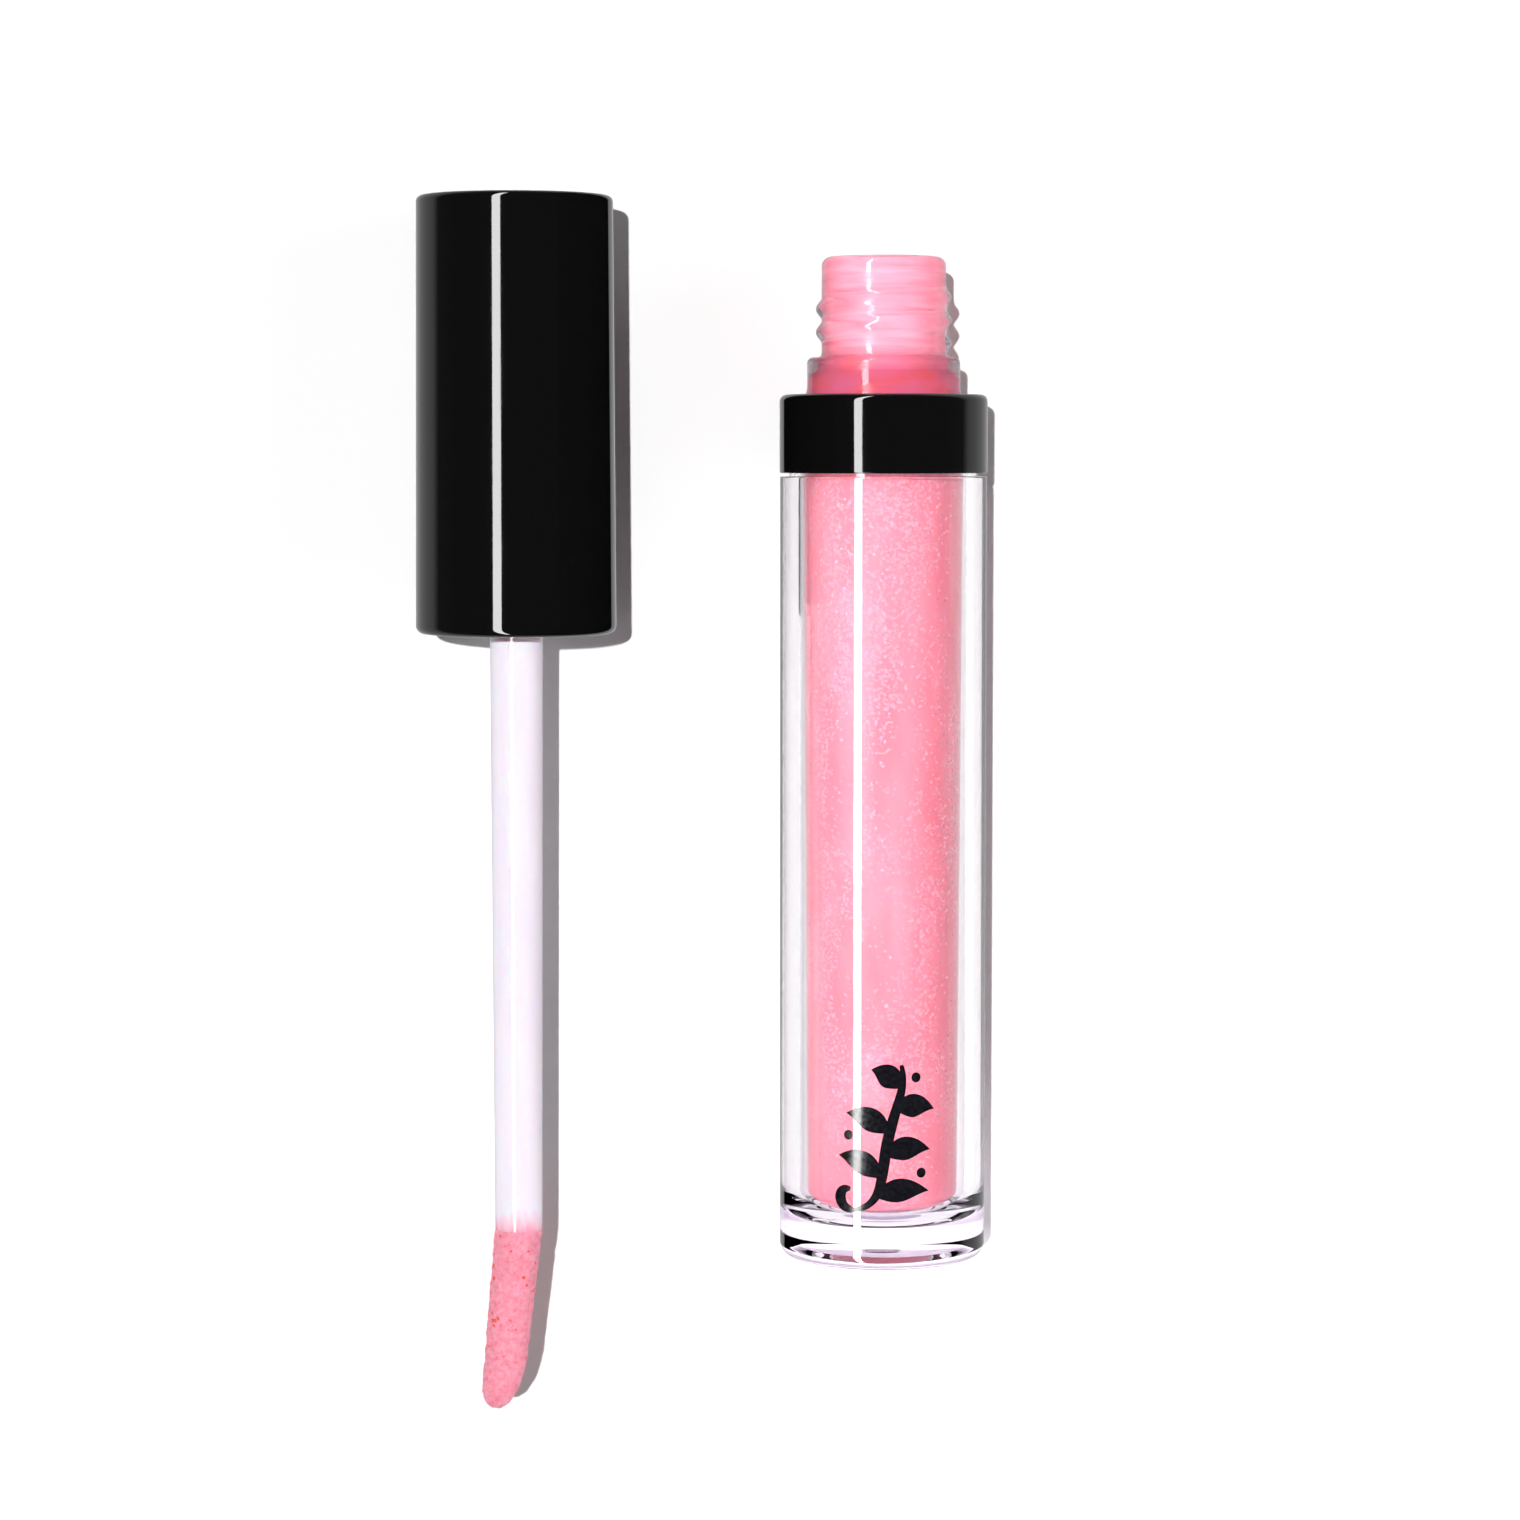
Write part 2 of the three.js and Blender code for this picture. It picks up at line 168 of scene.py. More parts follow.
def make_piece(name, vertices, faces, crease=CREASE_ANGLE):
    """A smooth-shaded mesh object, with sharp edges where its faces turn by more than crease."""
    mesh = bpy.data.meshes.new(name)
    mesh.from_pydata(vertices, [], faces)
    mesh.validate()
    mesh.shade_smooth()
    mesh.set_sharp_from_angle(angle=crease)
    piece = bpy.data.objects.new(name, mesh)
    bpy.context.scene.collection.objects.link(piece)
    return piece


def finish_piece(piece, body, slot, material, *nodes):
    """Gives a piece its material and the body it rides on, and hides the CAD nodes it stands for."""
    piece.data.materials.append(material)
    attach(piece, body)
    if nodes:
        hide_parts(*nodes)
    return piece


def lathe(name, outline, base, sides=BIG_SIDES, radius_at=None):
    """Turns an outline about the axis through base. It starts and ends on the axis, or closes on
    itself. radius_at(radius, height, angle) changes the radius round the axis."""
    on_axis = 1e-6
    closed = outline[0] == outline[-1]
    rows = outline[:-1] if closed else outline
    vertices, first = [], []
    for radius, height in rows:
        first.append(len(vertices))
        around = 1 if radius < on_axis else sides
        for side in range(around):
            angle = 2 * math.pi * side / sides
            r = radius_at(radius, height, angle) if radius_at and around > 1 else radius
            offset = Vector((r * math.cos(angle), height, r * math.sin(angle))) * MM
            vertices.append(base + offset)
    faces = []
    for i in range(len(rows) if closed else len(rows) - 1):
        a, b = first[i], first[(i + 1) % len(rows)]
        pole_a = rows[i][0] < on_axis
        pole_b = rows[(i + 1) % len(rows)][0] < on_axis
        for side in range(sides):
            after = (side + 1) % sides
            if pole_a:
                faces.append((a, b + side, b + after))
            elif pole_b:
                faces.append((a + side, b, a + after))
            else:
                faces.append((a + side, b + side, b + after, a + after))
    return make_piece(name, vertices, faces)


# ---------------------------------------------------------------- materials

def add(tree, kind, inputs=None, **settings):
    """Adds a node. An input is a value, or the socket that feeds it."""
    node = tree.nodes.new(kind)
    for name, value in settings.items():
        setattr(node, name, value)
    for key, value in (inputs or {}).items():
        if isinstance(value, bpy.types.NodeSocket):
            tree.links.new(value, node.inputs[key])
        else:
            node.inputs[key].default_value = value
    return node


def maths(tree, operation, first, second):
    node = add(tree, "ShaderNodeMath", {0: first, 1: second}, operation=operation)
    return node.outputs[0]


def vector_maths(tree, operation, inputs):
    return add(tree, "ShaderNodeVectorMath", inputs, operation=operation).outputs[0]


def new_material(name, **sockets):
    """A Principled material with uniform values on its sockets, and coordinates in millimetres."""
    material = bpy.data.materials.new(name)
    material.use_nodes = True
    tree = material.node_tree
    shader = tree.nodes["Principled BSDF"]
    for key, value in sockets.items():
        shader.inputs[key.replace("_", " ")].default_value = value
    place = add(tree, "ShaderNodeTexCoord")
    mm = vector_maths(tree, "SCALE", {0: place.outputs["Object"], "Scale": 1 / MM})
    return material, tree, shader, mm


def stretched(tree, coordinates, scale):
    """Coordinates scaled along each axis, so that a texture's grain runs one way."""
    return vector_maths(tree, "MULTIPLY", {0: coordinates, 1: scale})


def grain(tree, coordinates, scale, detail=3.0, roughness=0.5):
    """Noise from 0 to 1. Its scale is in features per millimetre."""
    node = add(
        tree,
        "ShaderNodeTexNoise",
        {"Vector": coordinates, "Scale": scale, "Detail": detail, "Roughness": roughness},
    )
    return node.outputs["Fac"]


def ramp(tree, factor, *stops):
    """A colour ramp through (position, colour) stops."""
    node = add(tree, "ShaderNodeValToRGB", {"Fac": factor})
    elements = node.color_ramp.elements
    while len(elements) < len(stops):
        elements.new(0.5)
    for element, (position, colour) in zip(elements, stops):
        element.position = position
        element.color = (*colour, 1.0)
    return node.outputs["Color"]


def between(tree, value, low, high, to_low=0.0, to_high=1.0):
    """A value's range mapped to another, and held at its ends."""
    node = add(
        tree,
        "ShaderNodeMapRange",
        {"Value": value, 1: low, 2: high, 3: to_low, 4: to_high},
    )
    return node.outputs[0]


def mixed(tree, factor, first, second):
    """Two colours mixed. Sockets 6, 7 and 2 are a Mix node's colour pair and its result."""
    node = add(tree, "ShaderNodeMix", {0: factor, 6: first, 7: second}, data_type="RGBA")
    return node.outputs[2]


def bump(tree, shader, height, distance_mm, strength):
    node = add(
        tree,
        "ShaderNodeBump",
        {"Height": height, "Distance": distance_mm * MM, "Strength": strength},
    )
    tree.links.new(node.outputs[0], shader.inputs["Normal"])


def along_axis(tree, coordinates):
    """The coordinate along the pieces, in millimetres in the frame."""
    return add(tree, "ShaderNodeSeparateXYZ", {0: coordinates}).outputs[1]


def lets_light_in(material, tree, shader, clear_colour, bends):
    """Lamps shine straight through clear plastic on to what it holds. Where bends is 1, its edges
    turn their light aside, and so cast a shadow."""
    path = add(tree, "ShaderNodeLightPath")
    edge_colour = (0.12, 0.115, 0.12)
    facing = add(tree, "ShaderNodeLayerWeight", {"Blend": 0.5}).outputs["Facing"]
    edges = ramp(tree, facing, (0.40, clear_colour), (0.52, edge_colour))
    shade = mixed(tree, bends, (*clear_colour, 1.0), edges)
    clear = add(tree, "ShaderNodeBsdfTransparent", {"Color": shade})
    mix = add(
        tree,
        "ShaderNodeMixShader",
        {0: path.outputs["Is Shadow Ray"], 1: shader.outputs[0], 2: clear.outputs[0]},
    )
    tree.links.new(mix.outputs[0], tree.nodes["Material Output"].inputs["Surface"])
    return material


def black_gloss():
    """Piano-black moulded plastic: a faint orange peel and fine handling marks."""
    material, tree, shader, mm = new_material(
        "black_gloss_plastic", Base_Color=(0.0035, 0.0035, 0.0038, 1.0), IOR=1.44
    )
    haze = grain(tree, stretched(tree, mm, (0.9, 0.12, 0.9)), 0.8, 4.0)
    tree.links.new(between(tree, haze, 0.35, 0.75, 0.035, 0.085), shader.inputs["Roughness"])
    peel = grain(tree, mm, 0.9, 2.0)
    bump(tree, shader, peel, 0.004, 0.35)
    return material


def clear_plastic():
    """Polished clear shell, with a trace of flow lines along its draw, and a lilac tint painted into
    its foot.
    """
    material, tree, shader, mm = new_material(
        "clear_plastic", Roughness=0.0, IOR=1.49, Transmission_Weight=1.0
    )
    # Painted light: the lilac at the foot stands in for the lilac light that the thick foot
    # refracts.
    lilac = (0.94, 0.87, 0.97, 1.0)
    nearly_clear = (0.985, 0.965, 0.987, 1.0)
    height = along_axis(tree, mm)
    foot = TUBE_BASE.y / MM
    thin = between(tree, height, foot + 3.0, foot + 8.0)
    tint = mixed(tree, thin, lilac, nearly_clear)
    tree.links.new(tint, shader.inputs["Base Color"])
    flow = grain(tree, stretched(tree, mm, (0.8, 0.1, 0.8)), 0.5, 2.0)
    bump(tree, shader, flow, 0.01, 0.25)
    bends = between(tree, height, foot + 1.2, foot + 2.5, 0.45, 1.0)
    return lets_light_in(material, tree, shader, (0.97, 0.965, 0.975), bends)


def bottle_plastic():
    """The inner bottle: clear, and above the collar smeared and drawn with lines round the neck."""
    material, tree, shader, mm = new_material(
        "bottle_plastic", Base_Color=(1.0, 0.95, 0.975, 1.0), IOR=1.35, Transmission_Weight=1.0
    )
    lines = grain(tree, stretched(tree, mm, (0.12, 2.2, 0.12)), 1.0, 4.0)
    smears = grain(tree, stretched(tree, mm, (0.8, 1.4, 0.8)), 0.6, 4.0)
    wet = mixed(tree, 0.5, lines, smears)
    open_part = TUBE_BASE.y / MM + COLLAR_TOP
    handled = between(tree, along_axis(tree, mm), open_part - 1, open_part)
    rough = between(tree, smears, 0.46, 0.6, 0.03, 0.26)
    tree.links.new(maths(tree, "MULTIPLY", rough, handled), shader.inputs["Roughness"])
    bump(tree, shader, maths(tree, "MULTIPLY", wet, handled), 0.12, 0.5)
    return lets_light_in(material, tree, shader, (1.0, 0.93, 0.96), handled)


def natural_plastic():
    """Undyed moulded plastic, slightly waxy."""
    material, tree, shader, mm = new_material(
        "natural_plastic", Subsurface_Weight=0.3, Subsurface_Scale=1.2 * MM, IOR=1.5
    )
    cloud = grain(tree, mm, 0.6, 3.0)
    colour = ramp(tree, cloud, (0.3, (0.78, 0.75, 0.78)), (0.7, (0.88, 0.86, 0.88)))
    tree.links.new(colour, shader.inputs["Base Color"])
    tree.links.new(between(tree, cloud, 0.3, 0.7, 0.28, 0.42), shader.inputs["Roughness"])
    bump(tree, shader, grain(tree, mm, 9.0, 2.0), 0.01, 0.4)
    return material


def foam():
    """Closed-cell sealing foam."""
    material, tree, shader, mm = new_material("sealing_foam", Roughness=0.85)
    cells = add(tree, "ShaderNodeTexVoronoi", {"Vector": mm, "Scale": 6.0}).outputs["Distance"]
    colour = ramp(tree, cells, (0.1, (0.86, 0.84, 0.85)), (0.7, (0.72, 0.69, 0.71)))
    tree.links.new(colour, shader.inputs["Base Color"])
    bump(tree, shader, cells, 0.05, 0.5)
    return material


def flakes(tree, coordinates, scale, share, tilt):
    """Pearl flakes: the share of small cells that lie tilted. Returns their normal and a mask."""
    cells = add(tree, "ShaderNodeTexVoronoi", {"Vector": coordinates, "Scale": scale})
    either_way = {0: cells.outputs["Color"], 1: (0.5, 0.5, 0.5)}
    centred = vector_maths(tree, "SUBTRACT", either_way)
    pick = add(tree, "ShaderNodeTexWhiteNoise", {"Vector": cells.outputs["Position"]})
    mask = maths(tree, "LESS_THAN", pick.outputs["Value"], share)
    amount = maths(tree, "MULTIPLY", mask, tilt)
    lean = vector_maths(tree, "SCALE", {0: centred, "Scale": amount})
    surface = add(tree, "ShaderNodeNewGeometry")
    summed = vector_maths(tree, "ADD", {0: surface.outputs["Normal"], 1: lean})
    return vector_maths(tree, "NORMALIZE", {0: summed}), mask


def pink_gloss():
    """Pearly pink gloss: slow swirls drawn along the tube, and fine flakes that catch the light."""
    material, tree, shader, mm = new_material(
        "pink_gloss",
        IOR=1.2,
        Subsurface_Weight=0.4,
        Subsurface_Scale=2.0 * MM,
        Sheen_Weight=0.02,
        Sheen_Roughness=0.4,
        Sheen_Tint=(0.8, 0.6, 1.0, 1.0),
    )
    swirl = grain(tree, stretched(tree, mm, (0.32, 0.07, 0.32)), 1.0, 5.0, 0.55)
    base = ramp(
        tree,
        swirl,
        (0.25, (0.82, 0.205, 0.25)),
        (0.5, (0.87, 0.265, 0.315)),
        (0.75, (0.91, 0.32, 0.375)),
    )
    drift = grain(tree, stretched(tree, mm, (0.3, 0.08, 0.3)), 1.0, 2.0)
    share = between(tree, drift, 0.4, 0.62, 0.04, 0.42)
    normal, mask = flakes(tree, mm, 5.5, share, 0.6)
    flake_colour = (0.97, 0.42, 0.49, 1.0)
    tree.links.new(mixed(tree, mask, base, flake_colour), shader.inputs["Base Color"])
    tree.links.new(between(tree, mask, 0.0, 1.0, 0.0, 0.16), shader.inputs["Metallic"])
    tree.links.new(between(tree, mask, 0.0, 1.0, 0.3, 0.1), shader.inputs["Roughness"])
    tree.links.new(normal, shader.inputs["Normal"])
    return material


def neck_gloss():
    """Gloss that clings inside the shoulder, where it is deep, and the neck, where it is streaky."""
    material, tree, shader, mm = new_material("neck_gloss", IOR=1.2)
    height = along_axis(tree, mm)
    neck_start = TUBE_BASE.y / MM + RING_TOP
    streaks = grain(tree, stretched(tree, mm, (0.15, 1.7, 0.15)), 1.0, 5.0, 0.6)
    thin = ramp(
        tree,
        streaks,
        (0.3, (0.85, 0.22, 0.28)),
        (0.5, (0.91, 0.31, 0.385)),
        (0.7, (0.96, 0.39, 0.48)),
    )
    pools = grain(tree, stretched(tree, mm, (0.25, 0.6, 0.25)), 1.0, 4.0)
    deep = ramp(
        tree,
        pools,
        (0.3, (0.60, 0.08, 0.09)),
        (0.5, (0.56, 0.10, 0.155)),
        (0.75, (0.52, 0.12, 0.23)),
    )
    share = between(tree, height, neck_start - 1.2, neck_start + 1.0)
    tree.links.new(mixed(tree, share, deep, thin), shader.inputs["Base Color"])
    tree.links.new(between(tree, streaks, 0.3, 0.7, 0.25, 0.45), shader.inputs["Roughness"])
    bump(tree, shader, streaks, 0.12, 0.5)
    return material


def stem_plastic():
    """Milky lilac-white wand, with gloss smeared over its last millimetres."""
    material, tree, shader, mm = new_material(
        "stem_plastic", Subsurface_Weight=0.35, Subsurface_Scale=1.5 * MM, IOR=1.5
    )
    end = CAP_RIM.y / MM + STEM_END
    cloud = grain(tree, stretched(tree, mm, (0.5, 0.08, 0.5)), 1.0, 3.0)
    milky = ramp(tree, cloud, (0.3, (0.80, 0.75, 0.85)), (0.7, (0.84, 0.80, 0.88)))
    ragged = grain(tree, stretched(tree, mm, (1.2, 0.5, 1.2)), 1.0, 4.0)
    wobble = between(tree, ragged, 0.3, 0.7, -0.5, 0.5)
    height = maths(tree, "ADD", along_axis(tree, mm), wobble)
    smear = between(tree, height, end + 2.0, end + 0.2)
    pink = (1.0, 0.36, 0.48, 1.0)
    tree.links.new(mixed(tree, smear, milky, pink), shader.inputs["Base Color"])
    tree.links.new(between(tree, cloud, 0.3, 0.7, 0.12, 0.22), shader.inputs["Roughness"])
    bump(tree, shader, cloud, 0.02, 0.3)
    return material


def wet_flock():
    """Flock soaked with gloss: clumped fibres, wet highlights and a few darker orange-red specks."""
    material, tree, shader, mm = new_material(
        "wet_flock", Subsurface_Weight=0.25, Subsurface_Scale=0.6 * MM, IOR=1.4
    )
    clumps = grain(tree, mm, 2.4, 5.0, 0.6)
    base = ramp(
        tree,
        clumps,
        (0.28, (0.95, 0.18, 0.24)),
        (0.45, (1.0, 0.30, 0.40)),
        (0.7, (1.0, 0.42, 0.55)),
    )
    cells = add(tree, "ShaderNodeTexVoronoi", {"Vector": mm, "Scale": 1.5})
    spread = grain(tree, mm, 0.5, 2.0)
    speck_size = between(tree, spread, 0.42, 0.6, 0.0, 0.3)
    speck = maths(tree, "LESS_THAN", cells.outputs["Distance"], speck_size)
    colour = mixed(tree, speck, base, (0.95, 0.10, 0.07, 1.0))
    tree.links.new(colour, shader.inputs["Base Color"])
    tree.links.new(between(tree, clumps, 0.3, 0.7, 0.6, 0.3), shader.inputs["Roughness"])
    bump(tree, shader, grain(tree, mm, 5.0, 4.0), 0.3, 0.9)
    return material


def printed_ink():
    """Black screen print, a little uneven."""
    material, tree, shader, mm = new_material("printed_ink", IOR=1.5)
    mottle = grain(tree, mm, 3.0, 4.0)
    colour = ramp(tree, mottle, (0.3, (0.003, 0.003, 0.005)), (0.7, (0.012, 0.012, 0.016)))
    tree.links.new(colour, shader.inputs["Base Color"])
    tree.links.new(between(tree, mottle, 0.3, 0.7, 0.1, 0.2), shader.inputs["Roughness"])
    return material


# ---------------------------------------------------------------- the tube

def make_shell(material):
    """Thick clear shell: foot ring, shallow recess with a moulding gate, spigot under the collar."""
    edge_r = 1.2
    recess_r, recess_depth, foot_r = 5.2, 0.8, 6.0
    gate_r, gate_height = 1.5, 0.3
    spigot_r = FLANGE_R
    floor_corner = 3.0
    outline = [(0, recess_depth - gate_height)]
    outline += arc(gate_r - 0.2, recess_depth - gate_height + 0.15, 0.15, -90, 0, 4)
    outline += [(gate_r, recess_depth)]
    outline += arc(recess_r - 0.4, recess_depth - 0.05, 0.05, 90, 60, 3)
    outline += arc(foot_r, 0.25, 0.25, 225, 270, 4)
    outline += arc(SHELL_R - edge_r, edge_r, edge_r, -90, 0, 16)
    outline += arc(SHELL_R - 0.12, SHELL_STEP - 0.12, 0.12, 0, 90, 4)
    outline += [(spigot_r, SHELL_STEP), (spigot_r, SPIGOT_TOP - CHAMFER)]
    outline += [(spigot_r - CHAMFER, SPIGOT_TOP), (SHELL_BORE_R + CHAMFER, SPIGOT_TOP)]
    outline += [(SHELL_BORE_R, SPIGOT_TOP - CHAMFER)]
    outline += arc(
        SHELL_BORE_R - floor_corner, SHELL_FLOOR + floor_corner, floor_corner, 0, -90, 20
    )
    outline += [(0, SHELL_FLOOR)]
    shell = lathe("clear_shell", outline, TUBE_BASE)
    return finish_piece(shell, "tube", "clear_plastic", material, "outer_shell")


def corner_of_vessel(inset, outwards):
    """The rounded lower corner of the bottle, set in from its outer face."""
    ends = (-90, 0) if outwards else (0, -90)
    return arc(
        VESSEL_BOTTOM_R - VESSEL_CORNER_R,
        VESSEL_BOTTOM + VESSEL_CORNER_R,
        VESSEL_CORNER_R - inset,
        *ends,
        steps=20,
    )


def thread_rise(height, angle, top, turns):
    """How far a right-handed thread stands out at a place on a cylinder, from 0 to 1."""
    fade_turns = 0.14
    half_width = 0.96
    sharpness = 1.6
    rise = 0.0
    for lap in range(int(turns) + 3):
        turned = angle / (2 * math.pi) + lap - 1
        if not -fade_turns < turned < turns + fade_turns:
            continue
        away = abs(height - (top - THREAD_PITCH * turned))
        if away < half_width:
            run_in = 1 + turned / fade_turns
            run_out = 1 + (turns - turned) / fade_turns
            fade = min(1.0, run_in, run_out)
            crest = math.cos(math.pi / 2 * away / half_width) ** sharpness
            rise = max(rise, fade * crest)
    return rise


def make_bottle(material):
    """The inner bottle, in one piece with its flange, shoulder ring and threaded neck."""
    fillet_r, neck_edge_r, ring_edge_r = 0.4, 0.8, 0.5
    outline = [(0, VESSEL_BOTTOM)] + corner_of_vessel(0, True)
    wall_start = (VESSEL_BOTTOM_R, VESSEL_WALL_START)
    outline += line(wall_start, (VESSEL_TOP_R, SPIGOT_TOP + GAP), 24)
    outline += [(FLANGE_R, SPIGOT_TOP + GAP), (FLANGE_R, GLOSS_TOP)]
    outline += [(RING_FOOT_R, GLOSS_TOP), (RING_FOOT_R, COLLAR_TOP)]
    outline += [(RING_R + 0.06, COLLAR_TOP + 0.25), (RING_R, COLLAR_TOP + 0.6)]
    outline += arc(RING_R - ring_edge_r, RING_TOP - ring_edge_r, ring_edge_r, 0, 90)
    outline += arc(NECK_R + fillet_r, RING_TOP + fillet_r, fillet_r, -90, -180, 6)
    outline += line((NECK_R, RING_TOP + 0.5), (NECK_R, NECK_TOP - neck_edge_r - 0.1), 70)
    outline += arc(NECK_R - neck_edge_r, NECK_TOP - neck_edge_r, neck_edge_r, 0, 90)
    outline += [(NECK_BORE_R + CHAMFER, NECK_TOP), (NECK_BORE_R, NECK_TOP - CHAMFER)]
    outline += [(NECK_BORE_R, SHOULDER_BORE[1]), (VESSEL_TOP_R - WALL, SHOULDER_BORE[0])]
    outline += corner_of_vessel(WALL, False) + [(0, VESSEL_BOTTOM + WALL)]

    def threaded(radius, height, angle):
        if abs(radius - NECK_R) > 0.01:
            return radius
        return radius + THREAD_HEIGHT * thread_rise(height, angle, THREAD_TOP, 2)

    bottle = lathe("bottle", outline, TUBE_BASE, radius_at=threaded)
    return finish_piece(bottle, "tube", "vessel_plastic", material, "inner_vessel")


def make_collar(material):
    """Black ring over the joint between the shell and the bottle."""
    edge_r = 0.6
    bore_r = FLANGE_R + GAP
    hole_r = RING_FOOT_R + GAP
    web_bottom = GLOSS_TOP + GAP
    outline = [(bore_r, COLLAR_BOTTOM), (COLLAR_R - CHAMFER, COLLAR_BOTTOM)]
    outline += arc(COLLAR_R - CHAMFER, COLLAR_BOTTOM + CHAMFER, CHAMFER, -90, 0, 4)
    outline += arc(COLLAR_R - edge_r, COLLAR_TOP - edge_r, edge_r, 0, 90, 12)
    outline += arc(hole_r + CHAMFER, COLLAR_TOP - CHAMFER, CHAMFER, 90, 180, 4)
    outline += [(hole_r, web_bottom), (bore_r, web_bottom), (bore_r, COLLAR_BOTTOM)]
    collar = lathe("black_collar", outline, TUBE_BASE)
    return finish_piece(collar, "tube", "black_plastic", material, "collar")


def make_wiper(material):
    """Plug in the neck, whose lip at its lower end wipes the wand."""
    bore_r, lip_r, cone_top = 3.2, 2.4, 79.8
    plug_r = WIPER_R - 0.06
    corners = [
        (lip_r, WIPER_BOTTOM),
        (lip_r + 0.5, WIPER_BOTTOM),
        (plug_r, cone_top),
        (plug_r, WIPER_TOP),
        (bore_r, WIPER_TOP),
        (bore_r, cone_top),
        (lip_r, WIPER_BOTTOM + 0.8),
    ]
    wiper = lathe("neck_wiper", softened(corners), TUBE_BASE, SMALL_SIDES)
    return finish_piece(wiper, "tube", "natural_plastic", material, "wiper")


def make_gloss(material):
    """The gloss in the bottle, wetting its wall, with the wand's channel down its middle."""
    channel_r, channel_bottom = 3.5, 6.6
    inset = WALL - WETTING
    outline = [(0, VESSEL_BOTTOM + inset)] + corner_of_vessel(inset, True)
    wall_start = (VESSEL_BOTTOM_R - inset, VESSEL_WALL_START)
    outline += line(wall_start, (VESSEL_TOP_R - inset, GLOSS_TOP + 0.4), 30)
    outline += arc(channel_r + 0.6, GLOSS_TOP - 0.6, 0.6, 90, 180, 6)
    outline += arc(channel_r - 0.8, channel_bottom + 0.8, 0.8, 0, -90, 6)
    outline += [(0, channel_bottom)]
    gloss = lathe("gloss_fill", outline, TUBE_BASE)
    return finish_piece(gloss, "tube", "pink_gloss", material, "lip_gloss")


def make_neck_film(material):
    """Gloss that clings inside the shoulder and the neck's bore, above the fill."""
    thickness = 0.25
    low, high = SHOULDER_BORE
    wall_r = VESSEL_TOP_R - WALL + WETTING
    bore_r = NECK_BORE_R + WETTING
    bottom, top = GLOSS_TOP + 0.45, NECK_TOP - 0.45
    outline = [(wall_r - 0.02, bottom), (wall_r, low), (bore_r, high), (bore_r, top)]
    outline += [(bore_r - thickness, top), (bore_r - thickness, high - 0.05)]
    outline += [(wall_r - thickness, low - 0.05), (wall_r - thickness, bottom)]
    outline += outline[:1]
    film = lathe("neck_film", outline, TUBE_BASE)
    return finish_piece(film, "tube", "pink_gloss", material)


# ---------------------------------------------------------------- the printed sprig

PRINT_R = SHELL_R + 0.012  # just clear of the shell
PRINT_LIFT = 1.7  # from the sprig's own heights to its place on the tube


def on_shell(across, height):
    """A point on the print, at a distance round the shell from its front line."""
    angle = across / SHELL_R
    offset = Vector(
        (PRINT_R * math.sin(angle), height + PRINT_LIFT, PRINT_R * math.cos(angle))
    )
    return TUBE_BASE + offset * MM


def bezier(points, t):
    """A point on the Bezier curve through a list of control points."""
    points = [Vector(p) for p in points]
    while len(points) > 1:
        points = [a.lerp(b, t) for a, b in zip(points, points[1:])]
    return points[0]


def stroke(control, width_at, steps=36, lanes=4):
    """A brush stroke along a curve, as a strip of faces on the shell."""
    nudge = 0.01
    vertices, faces = [], []
    for i in range(steps + 1):
        t = i / steps
        here = bezier(control, t)
        ahead = bezier(control, min(1, t + nudge)) - bezier(control, max(0, t - nudge))
        side = Vector((-ahead.y, ahead.x)).normalized() * width_at(t) / 2
        for lane in range(lanes + 1):
            point = here + side * (2 * lane / lanes - 1)
            vertices.append(on_shell(point.x, point.y))
    for i in range(steps):
        for lane in range(lanes):
            a = i * (lanes + 1) + lane
            faces.append((a, a + lanes + 1, a + lanes + 2, a + 1))
    return vertices, faces


def make_print(material):
    """A generic sprig of leaves and berries, in place of lettering."""

    def stem_width(t):
        return 0.34 + 0.66 * math.sin(math.pi * t) ** 0.7

    def leaf_width(t):
        return 0.04 + 2.0 * math.sin(math.pi * t ** 0.8) ** 1.1

    def dot_width(t):
        return 0.02 + 0.85 * math.sqrt(max(0.0, 1 - (2 * t - 1) ** 2))

    stem = [(-2.6, 3.7), (1.8, 4.6), (-2.2, 10.0), (2.4, 12.5), (1.4, 16.3)]
    strokes = [
        stroke(stem, stem_width, 60),
        stroke([(-2.6, 3.7), (-4.3, 3.6), (-4.3, 5.8), (-3.0, 5.5)], stem_width),
    ]
    leaves = [
        (0.16, (3.9, 5.3), 0.8),
        (0.30, (-4.1, 8.4), 1.0),
        (0.44, (4.0, 8.9), 0.9),
        (0.58, (-3.4, 12.1), 0.9),
        (0.72, (4.4, 12.4), 0.8),
        (0.86, (-1.2, 15.9), 0.7),
    ]
    for share, tip, lift in leaves:
        start, end = bezier(stem, share), Vector(tip)
        middle = start.lerp(end, 0.5) + Vector((0, lift))
        strokes.append(stroke([start, middle, end], leaf_width))
    berry_r = 0.42
    for x, y in [(2.7, 15.2), (3.2, 6.9), (-3.2, 10.2)]:
        strokes.append(stroke([(x - berry_r, y), (x + berry_r, y)], dot_width, 24))
    vertices, faces = [], []
    for points, strips in strokes:
        start = len(vertices)
        vertices += points
        faces += [tuple(start + k for k in strip) for strip in strips]
    sprig = make_piece("printed_sprig", vertices, faces)
    sprig.visible_shadow = False
    return finish_piece(sprig, "tube", "black_plastic", material)


# ---------------------------------------------------------------- the applicator

